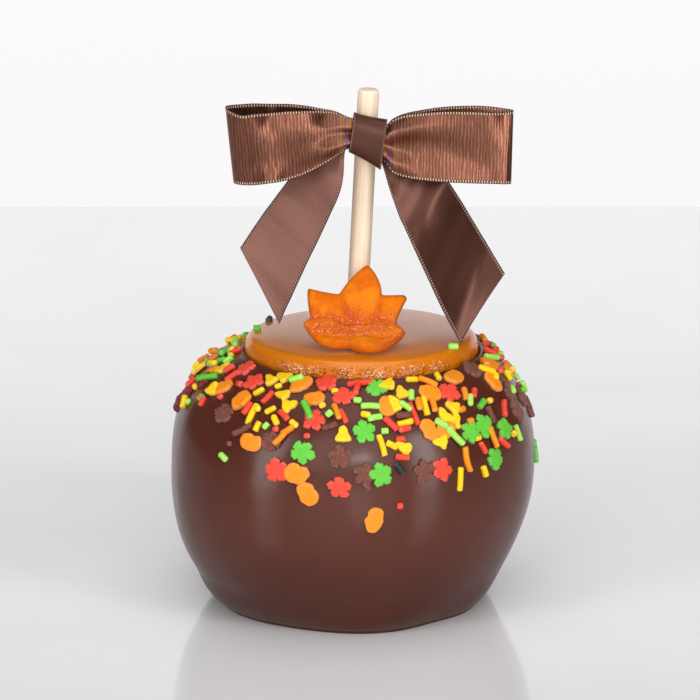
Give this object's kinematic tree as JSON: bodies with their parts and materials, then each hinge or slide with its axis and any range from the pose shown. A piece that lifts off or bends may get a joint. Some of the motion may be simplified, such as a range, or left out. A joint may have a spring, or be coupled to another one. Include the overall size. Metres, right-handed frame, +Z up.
{
  "type": "chocolate caramel apple",
  "caption": "Chocolate-coated caramel fruit on a wooden stick, with autumn sprinkles round its shoulder, a sugar maple leaf and a satin bow.",
  "frame": {"origin": "middle of the flat foot that the object stands on, at the middle of its bounding box's bottom", "axes": "+Z up along the stick, -Y towards the front, which the bow and the sugar leaf face, +X to the right of someone who looks at the front"},
  "size_m": [0.1039, 0.1036, 0.1469],
  "materials": {
    "chocolate": "satin",
    "caramel": "glossy",
    "birch": "sanded",
    "leaf_sugar": "grainy",
    "satin_ribbon": "satin",
    "clear_tie": "clear"
  },
  "bodies": {
    "root": {"chocolate_apple": "chocolate", "caramel_cap": "caramel", "stick": "birch", "maple_leaf": "leaf_sugar", "bow_ribbon": "satin_ribbon", "bow_band": "satin_ribbon", "bow_tie": "clear_tie"}
  },
  "joints": []
}
